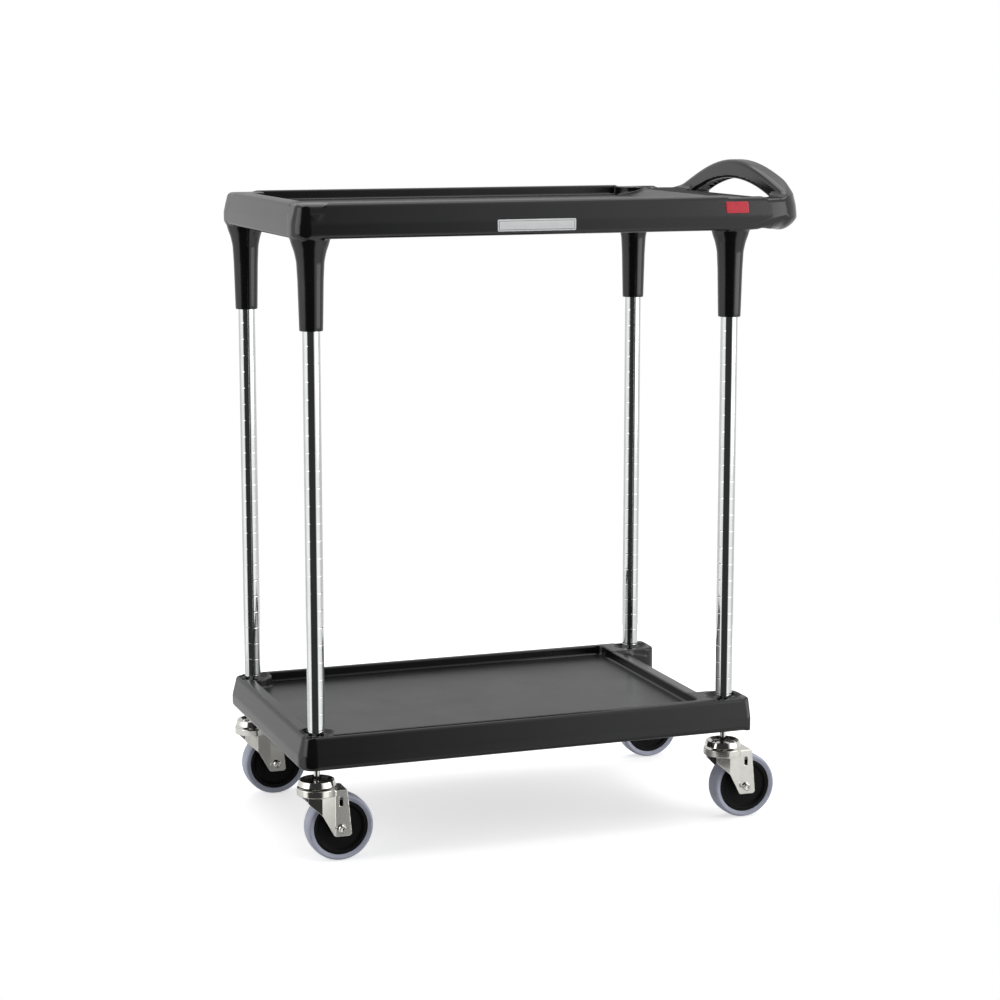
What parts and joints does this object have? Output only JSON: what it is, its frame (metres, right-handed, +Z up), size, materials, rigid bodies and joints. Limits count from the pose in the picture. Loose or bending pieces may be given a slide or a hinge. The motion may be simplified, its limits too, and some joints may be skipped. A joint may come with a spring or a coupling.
{
  "type": "service trolley",
  "caption": "Two-shelf wheeled service trolley with chromed grooved posts, a height-adjustable upper tray with an arched push handle, and swivel casters.",
  "frame": {"origin": "on the floor, at the centre of the object's bounding box seen from above", "axes": "+X towards the handle end, +Y towards the right-hand side of a person pushing, +Z up"},
  "size_m": [0.796, 0.436, 1.002],
  "materials": {
    "tray_plastic": "charcoal moulded structural foam, fine satin texture",
    "post_chrome": "bright chrome plated tube",
    "zinc_plate": "bright zinc plated pressed steel",
    "steel": "plain machined steel",
    "hub_plastic": "black moulded plastic",
    "tyre_rubber": "grey non-marking rubber",
    "black_plastic": "black moulded plastic",
    "label_film": "plain printed film",
    "badge_plastic": "plain red enamelled badge"
  },
  "bodies": {
    "base": {"lower_tray": "tray_plastic", "post_front_left": "post_chrome", "post_cap_front_left": "black_plastic", "post_insert_front_left": "steel", "caster_stem_front_left": "zinc_plate", "kingpin_nut_front_left": "steel", "post_front_right": "post_chrome", "post_cap_front_right": "black_plastic", "post_insert_front_right": "steel", "caster_stem_front_right": "zinc_plate", "kingpin_nut_front_right": "steel", "post_rear_left": "post_chrome", "post_cap_rear_left": "black_plastic", "post_insert_rear_left": "steel", "caster_stem_rear_left": "zinc_plate", "kingpin_nut_rear_left": "steel", "post_rear_right": "post_chrome", "post_cap_rear_right": "black_plastic", "post_insert_rear_right": "steel", "caster_stem_rear_right": "zinc_plate", "kingpin_nut_rear_right": "steel"},
    "upper_tray": {"upper_tray": "tray_plastic", "label": "label_film", "badge": "badge_plastic", "lock_sleeve_front_left": "black_plastic", "lock_sleeve_front_right": "black_plastic", "lock_sleeve_rear_left": "black_plastic", "lock_sleeve_rear_right": "black_plastic"},
    "swivel_front_left": {"fork_front_left": "zinc_plate", "swivel_bearing_front_left": "steel", "axle_bolt_front_left": "zinc_plate", "axle_nut_front_left": "zinc_plate", "axle_bush_front_left": "steel"},
    "wheel_front_left": {"wheel_hub_front_left": "hub_plastic", "tyre_front_left": "tyre_rubber"},
    "swivel_front_right": {"fork_front_right": "zinc_plate", "swivel_bearing_front_right": "steel", "axle_bolt_front_right": "zinc_plate", "axle_nut_front_right": "zinc_plate", "axle_bush_front_right": "steel"},
    "wheel_front_right": {"wheel_hub_front_right": "hub_plastic", "tyre_front_right": "tyre_rubber"},
    "swivel_rear_left": {"fork_rear_left": "zinc_plate", "swivel_bearing_rear_left": "steel", "axle_bolt_rear_left": "zinc_plate", "axle_nut_rear_left": "zinc_plate", "axle_bush_rear_left": "steel"},
    "wheel_rear_left": {"wheel_hub_rear_left": "hub_plastic", "tyre_rear_left": "tyre_rubber"},
    "swivel_rear_right": {"fork_rear_right": "zinc_plate", "swivel_bearing_rear_right": "steel", "axle_bolt_rear_right": "zinc_plate", "axle_nut_rear_right": "zinc_plate", "axle_bush_rear_right": "steel"},
    "wheel_rear_right": {"wheel_hub_rear_right": "hub_plastic", "tyre_rear_right": "tyre_rubber"}
  },
  "joints": [
    {"name": "tray_height", "type": "slide", "parent": "base", "child": "upper_tray", "axis": [0, 0, 1], "range_m": [-0.1016, 0]},
    {"name": "swivel_front_left", "type": "hinge", "parent": "base", "child": "swivel_front_left", "pos_m": [-0.367, -0.185, 0.103], "axis": [0, 0, 1], "continuous": true},
    {"name": "wheel_spin_front_left", "type": "hinge", "parent": "swivel_front_left", "child": "wheel_front_left", "pos_m": [-0.335, -0.185, 0.05], "axis": [0, 1, 0], "continuous": true},
    {"name": "swivel_front_right", "type": "hinge", "parent": "base", "child": "swivel_front_right", "pos_m": [-0.367, 0.185, 0.103], "axis": [0, 0, 1], "continuous": true},
    {"name": "wheel_spin_front_right", "type": "hinge", "parent": "swivel_front_right", "child": "wheel_front_right", "pos_m": [-0.335, 0.185, 0.05], "axis": [0, 1, 0], "continuous": true},
    {"name": "swivel_rear_left", "type": "hinge", "parent": "base", "child": "swivel_rear_left", "pos_m": [0.281, -0.185, 0.103], "axis": [0, 0, 1], "continuous": true},
    {"name": "wheel_spin_rear_left", "type": "hinge", "parent": "swivel_rear_left", "child": "wheel_rear_left", "pos_m": [0.313, -0.185, 0.05], "axis": [0, 1, 0], "continuous": true},
    {"name": "swivel_rear_right", "type": "hinge", "parent": "base", "child": "swivel_rear_right", "pos_m": [0.281, 0.185, 0.103], "axis": [0, 0, 1], "continuous": true},
    {"name": "wheel_spin_rear_right", "type": "hinge", "parent": "swivel_rear_right", "child": "wheel_rear_right", "pos_m": [0.313, 0.185, 0.05], "axis": [0, 1, 0], "continuous": true}
  ]
}
